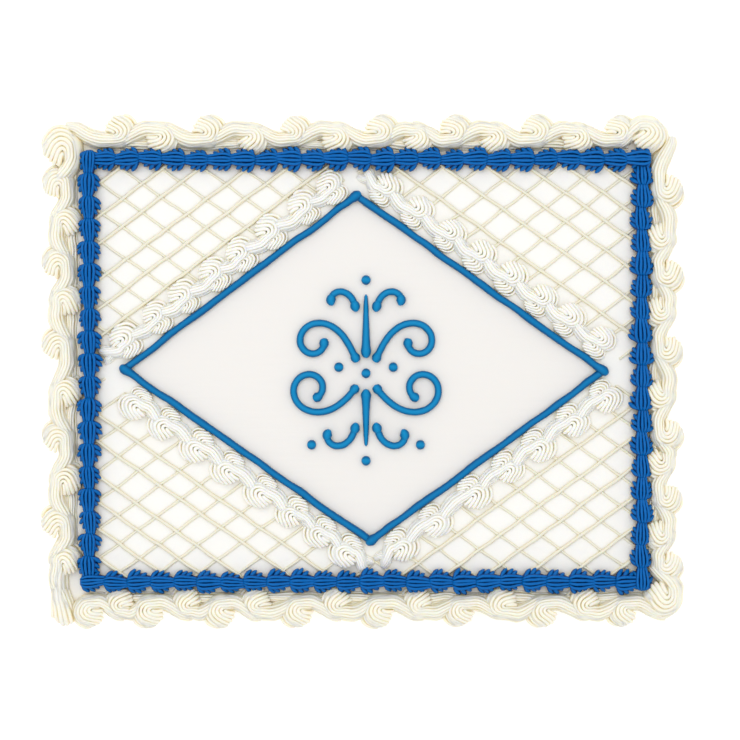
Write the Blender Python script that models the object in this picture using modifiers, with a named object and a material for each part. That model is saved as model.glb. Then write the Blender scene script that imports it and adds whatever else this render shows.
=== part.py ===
"""An iced sheet cake with piped borders, a piped lattice and a scroll ornament.

Metres, +Z up. +X is to the right and +Y away from someone who faces the cake.
The origin is at the middle of the cake's underside.
"""

import math
import random

import bmesh
import bpy
from mathutils import Matrix, Vector

MM = 0.001
GAP = 0.3 * MM

# Iced cake
CAKE_LENGTH = 380 * MM
CAKE_WIDTH = 301 * MM
CAKE_HEIGHT = 60 * MM
CORNER_RADIUS = 9 * MM
TOP_EDGE_RADIUS = 4 * MM

# Scroll border of cream round the top edge, piped counter-clockwise as seen from above
BORDER_HALF_LENGTH = 188.2 * MM
BORDER_HALF_WIDTH = 148.1 * MM
BORDER_CURL = 5.8 * MM
BORDER_STRAND = 5.0 * MM
BORDER_EYE = 4.4 * MM
BORDER_LEAN = 1.2 * MM
BORDER_CURL_POINTS = 6
# How much further in the scrolls run that curl inwards
BORDER_INNER_SHIFT = 1.4 * MM
# The first scroll of three sides wraps round the corner: the side it curls to and its size
CORNER_SCROLLS = {"back": (-1, 1.15), "left": (1, 1.25), "right": (-1, 1.2)}
# From the first scroll of a side to the next, and so on: uneven, as piped by hand
BORDER_START = {"back": -180, "left": -142, "front": -172, "right": -143}
BORDER_STEPS = {
    "back": (18, 26, 26, 26, 25, 23, 23, 27, 27, 26, 28, 28, 27),
    "left": (23, 24, 26, 23, 28, 29, 29, 26, 27, 23),
    "front": (19, 18, 24, 21, 22, 26, 24, 26, 25, 26, 26, 26, 26, 24),
    "right": (20, 19, 23, 22, 18, 24, 28, 24, 23, 23, 30),
}

# Shell border of blue icing that frames the field
FRAME = {"back": 132.2 * MM, "left": 170.5 * MM, "front": 131.2 * MM, "right": 174.3 * MM}
SHELL_PITCH = 15 * MM
SHELL_HEAD = 5.6 * MM
SHELL_WAIST = 3.9 * MM
SHELL_UNEVENNESS = 0.1
SHELL_RIDGES = 3
SHELL_HEIGHT = 1.15
SHELL_GROOVE = 0.2
# How far into its pitch a shell is widest
SHELL_WIDEST = 0.3

# Lozenge: a plain round line with a scroll border outside it
LOZENGE = {
    "back": Vector((-3.8, 109.7)) * MM,
    "left": Vector((-148.7, 1.4)) * MM,
    "front": Vector((5.1, -106.0)) * MM,
    "right": Vector((150.6, 0.1)) * MM,
}
LINE_RADIUS = 2.3 * MM
# Along the line from its corner, and radius, both in mm
LINE_BEAD = ((-2.2, 1.6), (-0.6, 3.2), (1.2, 3.2), (4, 2.4))
LINE_END_GAP = 5.9 * MM
# The small scrolls come in pairs, one curling out and one curling in: the side it curls to, its
# size against the border's scrolls, and how far outside the line its middle runs
LOZENGE_PAIR = ((1, 0.76, 14.0 * MM), (-1, 0.5, 7.4 * MM))
LOZENGE_CURL_POINTS = 4
# The corners where the piping of a side starts and ends, and in mm where its pairs stand
LOZENGE_STATIONS = {
    "left_back": ("back", "left", (8.6, 29.9, 55.5, 78.6, 99.3, 123, 144.3, 168.7)),
    "right_back": ("right", "back", (11.5, 35.2, 56.5, 80.2, 104, 126.5, 151.5, 175.9)),
    "right_front": ("right", "front", (7.5, 33, 59.4, 82.5, 109, 139, 165)),
    "left_front": ("left", "front", (17.3, 39.2, 63.6, 87.4, 112.4, 136.1, 157.4, 177.4)),
}
LOZENGE_LAST_REACH = 16

# Lattice of thin cream lines, one family along the lozenge's side and one across it
LATTICE_RADIUS = 1.2 * MM
ALONG_OFFSETS = {
    "left_back": (25.7, 40, 54.5, 72.6, 86.4, 103),
    "right_back": (28.8, 46.3, 62.6, 77.3, 91, 105),
    "right_front": (28.9, 44.8, 59.8, 74.9, 90.8, 106),
    "left_front": (33, 47, 64.7, 77.9, 91.6, 106),
}
ACROSS_PITCH = 14.8 * MM
# Angle from +X in degrees, and how far the line nearest the middle passes from it
ACROSS_LINES = {
    "left_back": (-35.0, -2.3),
    "right_back": (37.5, 3.1),
    "right_front": (-36.0, 2.9),
    "left_front": (36.0, -2.2),
}
LATTICE_BORDER_GAP = 24.2 * MM
LATTICE_SHORTEST = 8 * MM
LATTICE_ACROSS_COUNT = 14

# Shell border of cream round the foot
FOOT_PITCH = 27 * MM
FOOT_REACH = 6.8 * MM
FOOT_WAIST = 4.8 * MM
FOOT_OUTLINE = ((0, 0), (0.95, 0), (1, 0.5), (0.7, 1.25), (0, 1.65))

# Scroll ornament of bright blue icing in the lozenge
ORNAMENT_RADIUS = 2.2 * MM
ORNAMENT_BEAD = 3.1 * MM
ORNAMENT_MIDDLE = 2.2 * MM
# Start across and up from the ornament's middle in mm, heading in degrees, length in mm,
# and the bend at the start and at the end in radians per mm
ORNAMENT_SCROLLS = {
    "plume": (5.5, 6, 64, 80, 0.008, -0.162),
    "leaf": (6.2, 38, 80, 28, -0.02, -0.23),
    "sweep": (5.5, -9, -54, 92, 0.006, 0.145),
    "curl": (6.2, -33, -78, 33, 0.01, 0.21),
}
ORNAMENT_STEPS = 11
ORNAMENT_TIP = 0.6
ORNAMENT_DROPS = {"upper": (9, 48), "lower": (-12, -47)}
# Share of the drop's length, and radius in mm
ORNAMENT_DROP_SHAPE = ((0, 1.6), (0.08, 3.2), (0.5, 2.2), (1, 1))
ORNAMENT_DOT_FLATNESS = 0.7
ORNAMENT_SIDE_DOTS = ((17, 2.5), (34, -46))
ORNAMENT_MIDDLE_DOTS = (57, -1.3, -56)

# For each side: forward along the piping, outward from the cake, how far out the scroll
# border's middle runs, and the cake's length along the side and width across it
SIDES = {
    "back": (Vector((-1, 0)), Vector((0, 1)), BORDER_HALF_WIDTH, CAKE_LENGTH, CAKE_WIDTH),
    "left": (Vector((0, -1)), Vector((-1, 0)), BORDER_HALF_LENGTH, CAKE_WIDTH, CAKE_LENGTH),
    "front": (Vector((1, 0)), Vector((0, -1)), BORDER_HALF_WIDTH, CAKE_LENGTH, CAKE_WIDTH),
    "right": (Vector((0, 1)), Vector((1, 0)), BORDER_HALF_LENGTH, CAKE_WIDTH, CAKE_LENGTH),
}
NEXT_SIDE = {"back": "left", "left": "front", "front": "right", "right": "back"}
BEFORE_SIDE = {after: side for side, after in NEXT_SIDE.items()}

# Scrolls of both borders: degrees the curl starts at and turns through, share of the strand's
# radius it starts with and gains on the way, and the tail as shares of the way to the next
# scroll, of the curl's last place outward, and of the strand's radius
CURL_START = 30
CURL_TURN = 250
CURL_THIN = 0.78
CURL_SWELL = 0.2
TAIL = ((0.4, 0.6, 1.12), (0.74, -0.35, 1.05), (1.1, -0.75, 0.6))
# The strand's outline: corners, height for a half width of one, and degrees it goes on under
STRAND_CORNERS = 5
STRAND_HEIGHT = 1.4
STRAND_UNDER = 15
STRAND_LIFT = 0.2
EYE_HEIGHT = 1.5
# Share of the faces that a joined run of scrolls keeps
KEPT_FACES = 0.385

TOP = CAKE_HEIGHT + GAP
FRAME_REACH = SHELL_HEAD * (1 + SHELL_UNEVENNESS)


def start_scene():
    for obj in list(bpy.data.objects):
        bpy.data.objects.remove(obj, do_unlink=True)
    groups = []
    for name in ("birthday_cake", "cutters"):
        group = bpy.data.collections.new(name)
        bpy.context.scene.collection.children.link(group)
        groups.append(group)
    return groups


def make_material(name, color, roughness):
    material = bpy.data.materials.new(name)
    material.use_nodes = True
    shader = material.node_tree.nodes["Principled BSDF"]
    shader.inputs["Base Color"].default_value = (*color, 1)
    shader.inputs["Roughness"].default_value = roughness
    shader.inputs["Metallic"].default_value = 0
    return material


def link(obj, group):
    group.objects.link(obj)
    return obj


def paint(obj, material):
    obj.data.materials.clear()
    obj.data.materials.append(material)


def unlink_all(objects):
    for obj in objects:
        bpy.data.objects.remove(obj, do_unlink=True)


def curve_object(name, points, radii, cyclic=False):
    curve = bpy.data.curves.new(name, "CURVE")
    curve.dimensions = "3D"
    curve.twist_mode = "Z_UP"
    curve.use_fill_caps = True
    spline = curve.splines.new("POLY")
    spline.points.add(len(points) - 1)
    for place, point, radius in zip(spline.points, points, radii):
        place.co = (*point, 1)
        place.radius = radius
    spline.use_cyclic_u = cyclic
    return bpy.data.objects.new(name, curve)


def section_object(name, outline):
    """A closed outline in its own XY plane, for a curve to carry along."""
    section = curve_object(name, [(x, y, 0) for x, y in outline], [1] * len(outline), cyclic=True)
    section.data.dimensions = "2D"
    section.data.fill_mode = "NONE"
    section.hide_render = True
    section.display_type = "WIRE"
    return section


def mesh_from_curve(curve_obj, group):
    """A mesh object with welded caps, made from a curve object."""
    group.objects.link(curve_obj)
    bpy.context.view_layer.update()
    evaluated = curve_obj.evaluated_get(bpy.context.evaluated_depsgraph_get())
    mesh = bpy.data.meshes.new_from_object(evaluated)
    name = curve_obj.name
    bpy.data.objects.remove(curve_obj, do_unlink=True)
    work = bmesh.new()
    work.from_mesh(mesh)
    bmesh.ops.remove_doubles(work, verts=work.verts, dist=0.001 * MM)
    bmesh.ops.recalc_face_normals(work, faces=work.faces)
    work.to_mesh(mesh)
    work.free()
    return bpy.data.objects.new(name, mesh)


def box_object(name, low, high, group):
    mesh = bpy.data.meshes.new(name)
    work = bmesh.new()
    bmesh.ops.create_cube(work, size=1)
    middle = (Vector(low) + Vector(high)) / 2
    size = Vector(high) - Vector(low)
    shape = Matrix.Translation(middle) @ Matrix.Diagonal((*size, 1))
    bmesh.ops.transform(work, matrix=shape, verts=work.verts)
    work.to_mesh(mesh)
    work.free()
    return link(bpy.data.objects.new(name, mesh), group)


def apply_modifiers(obj):
    bpy.context.view_layer.update()
    evaluated = obj.evaluated_get(bpy.context.evaluated_depsgraph_get())
    mesh = bpy.data.meshes.new_from_object(evaluated)
    obj.modifiers.clear()
    obj.data = mesh


def boolean(obj, operation, solver, operand=None, collection=None):
    step = obj.modifiers.new(operation.lower(), "BOOLEAN")
    step.operation = operation
    step.solver = solver
    if collection:
        step.operand_type = "COLLECTION"
        step.collection = collection
    else:
        step.object = operand
    apply_modifiers(obj)


def joined(name, pieces, group, cutter):
    """One solid from overlapping pieces, cut to what lies inside the cutter."""
    members = bpy.data.collections.new(name + "_pieces")
    bpy.context.scene.collection.children.link(members)
    for piece in pieces[1:]:
        members.objects.link(piece)
    first = pieces[0]
    first.name = name
    first.data.name = name
    group.objects.link(first)
    boolean(first, "UNION", "MANIFOLD", collection=members)
    unlink_all(list(members.objects))
    bpy.data.collections.remove(members)
    boolean(first, "INTERSECT", "MANIFOLD", operand=cutter)
    bpy.data.objects.remove(cutter, do_unlink=True)
    drop_scraps(first)
    first.modifiers.new("triangles", "TRIANGULATE")
    thin = first.modifiers.new("fewer faces", "DECIMATE")
    thin.ratio = KEPT_FACES
    apply_modifiers(first)
    return first


def drop_scraps(obj):
    """Keeps the largest connected body of a mesh."""
    work = bmesh.new()
    work.from_mesh(obj.data)
    left = set(work.verts)
    bodies = []
    while left:
        body = set()
        reached = [left.pop()]
        while reached:
            vert = reached.pop()
            body.add(vert)
            for edge in vert.link_edges:
                other = edge.other_vert(vert)
                if other in left:
                    left.remove(other)
                    reached.append(other)
        bodies.append(body)
    bodies.sort(key=len)
    for body in bodies[:-1]:
        bmesh.ops.delete(work, geom=list(body), context="VERTS")
    work.to_mesh(obj.data)
    work.free()


def scroll_path(sign, reach, curl, strand, lean, curl_points):
    """One piped scroll as (forward, outward, radius): a curl on one side, then an S to a tail.

    It goes out, back and in round the eye of the curl, and runs forward under the next scroll,
    which curls the other way. sign is 1 for a curl outside and -1 for one inside.
    """
    path = []
    for index in range(curl_points):
        share = index / (curl_points - 1)
        angle = math.radians(CURL_START + CURL_TURN * share)
        radius = strand * (CURL_THIN + CURL_SWELL * share)
        path.append((curl * math.cos(angle), lean + curl * math.sin(angle), radius))
    start = path[-1][1]
    for share, sway, radius in TAIL:
        path.append((share * reach, start * sway, strand * radius))
    return [(u, sign * v, radius) for u, v, radius in path]


def strand_outline():
    """Outline of a strand with its lower part cut off, one unit to each side."""
    outline = []
    for index in range(STRAND_CORNERS):
        share = index / (STRAND_CORNERS - 1)
        angle = math.radians(-STRAND_UNDER + (180 + 2 * STRAND_UNDER) * share)
        outline.append((math.cos(angle), math.sin(angle) * STRAND_HEIGHT))
    return outline


def shell_outline():
    """Outline of a shell with a flat foot at zero and ridges over the top."""
    outline = []
    last = 2 * SHELL_RIDGES
    for index in range(last + 1):
        angle = math.pi * index / last
        reach = 1 if index % 2 else 1 - SHELL_GROOVE
        if index in (0, last):
            reach = 1 - SHELL_GROOVE / 2
        outline.append((math.cos(angle) * reach, math.sin(angle) * reach * SHELL_HEIGHT))
    return outline


def scroll_strand(name, axes, path, section, group):
    origin, forward, outward = axes
    points = []
    radii = []
    for u, v, radius in path:
        place = origin + forward * u + outward * v
        points.append((place.x, place.y, TOP + STRAND_LIFT * radius))
        radii.append(radius)
    strand = curve_object(name, points, radii)
    strand.data.bevel_mode = "OBJECT"
    strand.data.bevel_object = section
    return mesh_from_curve(strand, group)


def scroll_eye(name, place, radius):
    """The heap of icing that fills the eye of a curl."""
    mesh = bpy.data.meshes.new(name)
    work = bmesh.new()
    bmesh.ops.create_uvsphere(work, u_segments=6, v_segments=4, radius=radius)
    shape = Matrix.Translation((*place, TOP)) @ Matrix.Diagonal((1, 1, EYE_HEIGHT, 1))
    bmesh.ops.transform(work, matrix=shape, verts=work.verts)
    work.to_mesh(mesh)
    work.free()
    return bpy.data.objects.new(name, mesh)


def make_cake(group, cutters, icing):
    low = (-CAKE_LENGTH / 2, -CAKE_WIDTH / 2, 0)
    high = (CAKE_LENGTH / 2, CAKE_WIDTH / 2, CAKE_HEIGHT)
    cake = box_object("iced_cake", low, high, group)
    paint(cake, icing)
    weights = cake.data.attributes.new("bevel_weight_edge", "FLOAT", "EDGE")
    for edge in cake.data.edges:
        ends = [cake.data.vertices[index].co for index in edge.vertices]
        upright = abs(ends[0].z - ends[1].z) > CAKE_HEIGHT / 2
        on_top = min(ends[0].z, ends[1].z) > CAKE_HEIGHT / 2
        top_weight = TOP_EDGE_RADIUS / CORNER_RADIUS if on_top else 0
        weights.data[edge.index].value = 1 if upright else top_weight
    bevel = cake.modifiers.new("rounded edges", "BEVEL")
    bevel.limit_method = "WEIGHT"
    bevel.width = CORNER_RADIUS
    bevel.segments = 3
    apply_modifiers(cake)

    lines = bpy.data.collections.new("lattice_lines")
    bpy.context.scene.collection.children.link(lines)
    for name, ends in lattice_lines():
        points = [(end.x, end.y, CAKE_HEIGHT) for end in ends]
        line = curve_object(name, points, [1, 1])
        line.data.bevel_depth = LATTICE_RADIUS
        line.data.bevel_resolution = 0
        lines.objects.link(mesh_from_curve(line, cutters))
    boolean(cake, "UNION", "EXACT", collection=lines)
    unlink_all(list(lines.objects))
    bpy.data.collections.remove(lines)
    drop_scraps(cake)
    return cake


def lozenge_side(corner):
    """The lozenge's side that faces a corner of the cake: its ends and its outward direction."""
    across, along = corner.split("_")
    first = LOZENGE[across]
    second = LOZENGE[along]
    run = (second - first).normalized()
    outward = Vector((run.y, -run.x))
    if outward.dot((first + second) / 2) < 0:
        outward = -outward
    return first, second, outward


def clip(start, end, planes):
    """The stretch of a line on the inner side of every plane, or None."""
    low, high = 0.0, 1.0
    for point, normal in planes:
        ahead = (start - point).dot(normal)
        change = (end - start).dot(normal)
        if abs(change) < 1e-9:
            if ahead < 0:
                return None
            continue
        where = -ahead / change
        if change > 0:
            low = max(low, where)
        else:
            high = min(high, where)
    if (high - low) * (end - start).length < LATTICE_SHORTEST:
        return None
    return start.lerp(end, low), start.lerp(end, high)


def lattice_lines():
    """Name and two ends of each line, inside the shell frame and outside the lozenge's border."""
    margin = FRAME_REACH + LATTICE_RADIUS + GAP
    inside_frame = []
    for side, (_, outward, *_) in SIDES.items():
        inside_frame.append((outward * (FRAME[side] - margin), -outward))
    lines = []
    for corner, offsets in ALONG_OFFSETS.items():
        first, second, outward = lozenge_side(corner)
        run = (second - first).normalized()
        planes = inside_frame + [(first + outward * (LATTICE_BORDER_GAP + LATTICE_RADIUS), outward)]
        for index, offset in enumerate(offsets):
            middle = (first + second) / 2 + outward * offset * MM
            ends = clip(middle - run * CAKE_LENGTH, middle + run * CAKE_LENGTH, planes)
            if ends:
                lines.append((f"{corner}_along_{index}", ends))
        degrees, nearest = ACROSS_LINES[corner]
        run = Vector((math.cos(math.radians(degrees)), math.sin(math.radians(degrees))))
        across = Vector((run.y, -run.x))
        for index in range(-LATTICE_ACROSS_COUNT, LATTICE_ACROSS_COUNT + 1):
            middle = across * (nearest * MM + index * ACROSS_PITCH)
            ends = clip(middle - run * CAKE_LENGTH, middle + run * CAKE_LENGTH, planes)
            if ends:
                lines.append((f"{corner}_across_{index}", ends))
    return lines


def piped_scroll(axes, sign, reach, size, curl_points, section, group):
    """A scroll's strand and the heap in its eye."""
    origin, _, outward = axes
    path = scroll_path(
        sign, reach, BORDER_CURL * size, BORDER_STRAND * size, BORDER_LEAN * size, curl_points
    )
    strand = scroll_strand("strand", axes, path, section, group)
    middle = origin + outward * sign * BORDER_LEAN * size
    return [strand, scroll_eye("eye", middle, BORDER_EYE * size)]


def make_border(group, cutters, icing):
    section = link(section_object("strand_section", strand_outline()), cutters)
    for side, (forward, outward, distance, _, _) in SIDES.items():
        strands = []
        station = BORDER_START[side] * MM
        steps = BORDER_STEPS[side]
        sign = 1
        for index, step in enumerate(steps + (steps[-1],)):
            shift = 0 if sign > 0 else BORDER_INNER_SHIFT
            turned, size = sign, 1
            if index == 0 and side in CORNER_SCROLLS:
                turned, size = CORNER_SCROLLS[side]
                shift = 0
            else:
                sign = -sign
            origin = forward * station + outward * (distance - shift)
            axes = (origin, forward, outward)
            strands += piped_scroll(
                axes, turned, step * MM, size, BORDER_CURL_POINTS, section, cutters
            )
            station += step * MM
        inner = FRAME[side] + FRAME_REACH + GAP
        last = FRAME[NEXT_SIDE[side]] + FRAME_REACH
        corners = [
            outward * inner - forward * CAKE_LENGTH,
            forward * last + outward * (distance + CAKE_WIDTH),
        ]
        low = (min(c.x for c in corners), min(c.y for c in corners), TOP)
        high = (max(c.x for c in corners), max(c.y for c in corners), TOP + CAKE_HEIGHT)
        space = box_object("border_space", low, high, cutters)
        run = joined(f"cream_border_{side}", strands, group, space)
        paint(run, icing)
    bpy.data.objects.remove(section, do_unlink=True)


def shell_chain(name, ends, height, sizes, section, seed, group):
    """A run of shells: each starts wide and tapers to a waist where the next begins."""
    start, end = ends
    pitch, head, waist = sizes
    length = (end - start).length
    count = round(length / pitch)
    draw = random.Random(seed)
    points = []
    radii = []
    for index in range(count):
        size = draw.uniform(1 - SHELL_UNEVENNESS, 1 + SHELL_UNEVENNESS)
        for share, radius in ((0, waist), (SHELL_WIDEST, head)):
            place = start.lerp(end, (index + share) / count)
            points.append((place.x, place.y, height))
            radii.append(radius * size)
    points.append((end.x, end.y, height))
    radii.append(waist)
    chain = curve_object(name, points, radii)
    chain.data.bevel_mode = "OBJECT"
    chain.data.bevel_object = section
    return mesh_from_curve(chain, group)


def make_shell_frame(group, cutters, icing):
    section = link(section_object("shell_section", shell_outline()), cutters)
    sizes = (SHELL_PITCH, SHELL_HEAD, SHELL_WAIST)
    for seed, (side, (forward, outward, *_)) in enumerate(SIDES.items()):
        line = outward * FRAME[side]
        start = line - forward * (FRAME[BEFORE_SIDE[side]] + SHELL_HEAD)
        end = line + forward * (FRAME[NEXT_SIDE[side]] - FRAME_REACH - GAP)
        name = f"blue_shells_{side}"
        chain = link(shell_chain(name, (start, end), TOP, sizes, section, seed, cutters), group)
        paint(chain, icing)
    bpy.data.objects.remove(section, do_unlink=True)


def make_lozenge_border(group, cutters, icing):
    section = link(section_object("small_strand_section", strand_outline()), cutters)
    margin = FRAME_REACH + GAP
    for corner, (first_name, last_name, stations) in LOZENGE_STATIONS.items():
        outward = lozenge_side(corner)[2]
        first = LOZENGE[first_name]
        forward = (LOZENGE[last_name] - first).normalized()
        strands = []
        for index, station in enumerate(stations):
            following = (stations + (station + LOZENGE_LAST_REACH,))[index + 1]
            for sign, size, offset in LOZENGE_PAIR:
                origin = first + forward * station * MM + outward * offset
                axes = (origin, forward, outward)
                reach = (following - station) * MM
                strands += piped_scroll(
                    axes, sign, reach, size, LOZENGE_CURL_POINTS, section, cutters
                )
        across, along = corner.split("_")
        far = SIDES[across][1] * (FRAME[across] - margin) + SIDES[along][1] * (FRAME[along] - margin)
        near = Vector((
            LOZENGE[along].x + math.copysign(GAP / 2, far.x),
            LOZENGE[across].y + math.copysign(GAP / 2, far.y),
        ))
        low = (min(far.x, near.x), min(far.y, near.y), TOP)
        high = (max(far.x, near.x), max(far.y, near.y), TOP + CAKE_HEIGHT)
        space = box_object("lozenge_space", low, high, cutters)
        run = joined(f"lozenge_scrolls_{corner}", strands, group, space)
        paint(run, icing)
    bpy.data.objects.remove(section, do_unlink=True)


def round_strand(name, places, radii, group, cutters, icing):
    """A plain round strand that lies on the cake's top."""
    points = [(place.x, place.y, TOP + radius) for place, radius in zip(places, radii)]
    line = curve_object(name, points, radii)
    line.data.bevel_depth = 1
    line.data.bevel_resolution = 1
    paint(link(mesh_from_curve(line, cutters), group), icing)


def make_lozenge_line(group, cutters, icing):
    """Four plain lines, each with a bead where it starts."""
    order = ("back", "left", "front", "right")
    for start_name, end_name in zip(order, order[1:] + order[:1]):
        start, end = LOZENGE[start_name], LOZENGE[end_name]
        run = (end - start).normalized()
        places = [start + run * along * MM for along, _ in LINE_BEAD]
        radii = [radius * MM for _, radius in LINE_BEAD]
        places.append(end - run * LINE_END_GAP)
        radii.append(LINE_RADIUS)
        round_strand(f"lozenge_line_{start_name}", places, radii, group, cutters, icing)


def bent_line(x, y, heading, length, bend_start, bend_end):
    """Points of a line whose bend changes evenly along it, in mm."""
    points = [Vector((x, y))]
    angle = math.radians(heading)
    stride = length / ORNAMENT_STEPS
    for index in range(ORNAMENT_STEPS):
        share = (index + 0.5) / ORNAMENT_STEPS
        angle += (bend_start + (bend_end - bend_start) * share) * stride
        points.append(points[-1] + Vector((math.cos(angle), math.sin(angle))) * stride)
    return points


def ornament_place(x, y):
    return Vector((ORNAMENT_MIDDLE + x * MM, y * MM))


def make_ornament(group, cutters, icing):
    for name, shape in ORNAMENT_SCROLLS.items():
        for hand, mirror in (("right", 1), ("left", -1)):
            places = [ornament_place(mirror * p.x, p.y) for p in bent_line(*shape)]
            radii = [ORNAMENT_RADIUS] * len(places)
            radii[0] = radii[-1] = ORNAMENT_RADIUS * ORNAMENT_TIP
            radii[1] = radii[-2] = ORNAMENT_BEAD
            round_strand(f"ornament_{name}_{hand}", places, radii, group, cutters, icing)
    for name, (start, end) in ORNAMENT_DROPS.items():
        places = [ornament_place(0, start + (end - start) * share) for share, _ in ORNAMENT_DROP_SHAPE]
        radii = [radius * MM for _, radius in ORNAMENT_DROP_SHAPE]
        round_strand(f"ornament_{name}_drop", places, radii, group, cutters, icing)
    dots = [(0, y) for y in ORNAMENT_MIDDLE_DOTS]
    for x, y in ORNAMENT_SIDE_DOTS:
        dots += [(x, y), (-x, y)]
    for index, (x, y) in enumerate(dots):
        mesh = bpy.data.meshes.new(f"ornament_dot_{index}")
        work = bmesh.new()
        bmesh.ops.create_uvsphere(work, u_segments=7, v_segments=4, radius=ORNAMENT_BEAD)
        place = (*ornament_place(x, y), TOP + ORNAMENT_BEAD * ORNAMENT_DOT_FLATNESS)
        flat = Matrix.Translation(place) @ Matrix.Diagonal((1, 1, ORNAMENT_DOT_FLATNESS, 1))
        bmesh.ops.transform(work, matrix=flat, verts=work.verts)
        work.to_mesh(mesh)
        work.free()
        paint(link(bpy.data.objects.new(mesh.name, mesh), group), icing)


def make_foot_border(group, cutters, icing):
    """Shells that stand on the table against the cake's side."""
    section = link(section_object("foot_section", FOOT_OUTLINE), cutters)
    sizes = (FOOT_PITCH, FOOT_REACH, FOOT_WAIST)
    for seed, (side, (forward, outward, _, length, width)) in enumerate(SIDES.items(), start=len(SIDES)):
        base = outward * (width / 2 + GAP)
        start = base - forward * (length / 2)
        end = base + forward * (length / 2 + FOOT_REACH)
        name = f"foot_shells_{side}"
        chain = link(shell_chain(name, (start, end), 0, sizes, section, seed, cutters), group)
        paint(chain, icing)
    bpy.data.objects.remove(section, do_unlink=True)


def shade(group):
    for obj in group.objects:
        obj.data.shade_smooth()
        obj.data.set_sharp_from_angle(angle=math.radians(35))


def main():
    group, cutters = start_scene()
    white = make_material("white buttercream", (0.92, 0.9, 0.85), 0.5)
    cream = make_material("cream buttercream", (0.93, 0.88, 0.76), 0.45)
    royal = make_material("royal blue buttercream", (0.0, 0.07, 0.38), 0.35)
    bright = make_material("bright blue buttercream", (0.0, 0.18, 0.55), 0.35)
    make_cake(group, cutters, white)
    make_border(group, cutters, cream)
    make_shell_frame(group, cutters, royal)
    make_lozenge_border(group, cutters, cream)
    make_lozenge_line(group, cutters, bright)
    make_ornament(group, cutters, bright)
    make_foot_border(group, cutters, cream)
    shade(group)


main()
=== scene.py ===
# Birthday sheet cake iced in buttercream: piped scroll borders, blue shells, a lattice and a scroll ornament.
# Run it in Blender 4.5 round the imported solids. Lengths in the dictionaries are millimetres.

import math
import random

import bpy
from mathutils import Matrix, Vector, noise


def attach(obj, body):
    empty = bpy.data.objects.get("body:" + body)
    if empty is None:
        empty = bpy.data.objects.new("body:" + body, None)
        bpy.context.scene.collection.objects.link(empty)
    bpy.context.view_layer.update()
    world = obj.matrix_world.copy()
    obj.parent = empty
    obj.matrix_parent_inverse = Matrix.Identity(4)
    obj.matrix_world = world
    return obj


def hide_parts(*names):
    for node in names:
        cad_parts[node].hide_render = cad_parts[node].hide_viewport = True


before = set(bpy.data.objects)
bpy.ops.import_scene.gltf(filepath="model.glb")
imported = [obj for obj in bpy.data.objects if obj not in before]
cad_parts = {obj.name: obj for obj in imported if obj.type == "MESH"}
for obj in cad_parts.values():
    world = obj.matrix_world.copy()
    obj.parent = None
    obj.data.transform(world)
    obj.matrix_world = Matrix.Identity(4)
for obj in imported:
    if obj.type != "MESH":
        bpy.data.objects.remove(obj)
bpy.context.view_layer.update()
mm = 0.001


# Small helpers

def deselectAll():
    bpy.ops.object.select_all(action="DESELECT")


def activate(piece):
    deselectAll()
    piece.select_set(True)
    bpy.context.view_layer.objects.active = piece


def hexToLinear(hexText):
    # sRGB hex to the linear values that the shader works in
    values = []
    for start in (0, 2, 4):
        value = int(hexText[start:start + 2], 16) / 255
        values.append(value / 12.92 if value <= 0.04045 else ((value + 0.055) / 1.055) ** 2.4)
    return (*values, 1)


def addNode(tree, kind, inputs=None, **settings):
    # a node with its settings; an input is a value or another node's output
    node = tree.nodes.new(kind)
    for key, value in settings.items():
        setattr(node, key, value)
    for key, value in (inputs or {}).items():
        if isinstance(value, bpy.types.NodeSocket):
            tree.links.new(value, node.inputs[key])
        else:
            node.inputs[key].default_value = value
    return node


def newMaterial(name):
    material = bpy.data.materials.new(name)
    material.use_nodes = True
    tree = material.node_tree
    shader = tree.nodes["Principled BSDF"]
    return material, tree, shader


def paint(piece, material):
    piece.data.materials.clear()
    piece.data.materials.append(material)


def smoothPath(knots, spacing):
    # a Catmull-Rom line through the knots; each knot is a tuple of numbers, the first three a place
    ends = [knots[0], *knots, knots[-1]]
    path = []
    for index in range(1, len(ends) - 2):
        p0, p1, p2, p3 = ends[index - 1:index + 3]
        length = math.dist(p1[:3], p2[:3])
        steps = max(1, round(length / spacing))
        for step in range(steps):
            t = step / steps
            path.append(tuple(
                0.5 * (
                    2 * b + (c - a) * t + (2 * a - 5 * b + 4 * c - d) * t ** 2
                    + (3 * b - a - 3 * c + d) * t ** 3
                )
                for a, b, c, d in zip(p0, p1, p2, p3)
            ))
    path.append(tuple(knots[-1]))
    return path


def makeNozzle(name, points, floor=-1):
    # the outline of a round tip one unit in radius, cut off flat below the floor
    deselectAll()
    bpy.ops.mesh.primitive_circle_add(vertices=points, radius=1, location=(0, 0, 0))
    outline = bpy.context.object
    outline.name = name
    grooves = []
    for vertex in outline.data.vertices:
        # 0 on the crown of the ridge, 1 on its sides and below
        grooves.append(1 - max(0.0, math.cos(math.atan2(vertex.co.x, vertex.co.y))))
        vertex.co.y = max(vertex.co.y, floor)
    bpy.ops.object.convert(target="CURVE")
    outline = bpy.context.object
    outline["groove"] = grooves
    outline.hide_render = True
    return outline


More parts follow.
